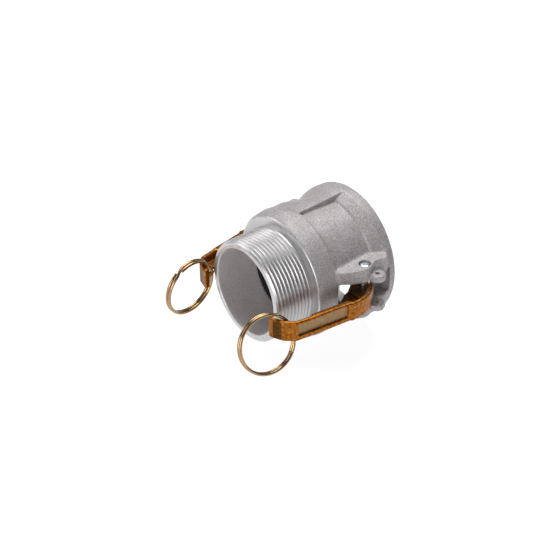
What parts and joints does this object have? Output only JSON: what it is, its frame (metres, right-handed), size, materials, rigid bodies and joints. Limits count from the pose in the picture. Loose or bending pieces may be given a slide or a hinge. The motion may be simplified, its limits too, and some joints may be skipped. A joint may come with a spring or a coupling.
{
  "type": "camlock coupling",
  "caption": "Camlock hose coupling: a cast cup with cam arms and pull rings that grip a grooved adapter, and a male pipe thread.",
  "frame": {"origin": "centre of the thread's end face, on the bore axis", "axes": "+Y along the bore towards the cup's mouth, +Z along both hinge pins, +X towards the right arm"},
  "size_m": [0.0988, 0.1067, 0.0786],
  "materials": {
    "cast_aluminium": "as cast, fine grain, matte, with machined faces",
    "rubber": "moulded, matte",
    "zinc_plate": "bright zinc plate",
    "brass": "cast and tumbled, satin",
    "chromate_wire": "yellow chromate over zinc, glossy"
  },
  "bodies": {
    "coupler": {"coupler_body": "cast_aluminium", "gasket": "rubber", "right_pivot_pin": "zinc_plate", "left_pivot_pin": "zinc_plate"},
    "right_arm": {"right_cam_arm": "brass"},
    "left_arm": {"left_cam_arm": "brass"},
    "right_ring": {"right_pull_ring": "chromate_wire"},
    "left_ring": {"left_pull_ring": "chromate_wire"}
  },
  "joints": [
    {"name": "right_arm_pivot", "type": "hinge", "parent": "coupler", "child": "right_arm", "pos_m": [0.037, 0.0533, 0], "axis": [0, 0, 1], "range_deg": [-6, 110]},
    {"name": "left_arm_pivot", "type": "hinge", "parent": "coupler", "child": "left_arm", "pos_m": [-0.037, 0.0533, 0], "axis": [0, 0, -1], "range_deg": [0, 118]},
    {"name": "right_ring_swing", "type": "hinge", "parent": "right_arm", "child": "right_ring", "pos_m": [0.03963, -0.00018, -0.00031], "axis": [-0.3006, -0.3011, 0.905], "range_deg": [-55, 16]},
    {"name": "left_ring_swing", "type": "hinge", "parent": "left_arm", "child": "left_ring", "pos_m": [-0.03152, 0.00007, -0.00131], "axis": [0.1254, -0.2546, 0.9589], "range_deg": [-65, 25]}
  ]
}
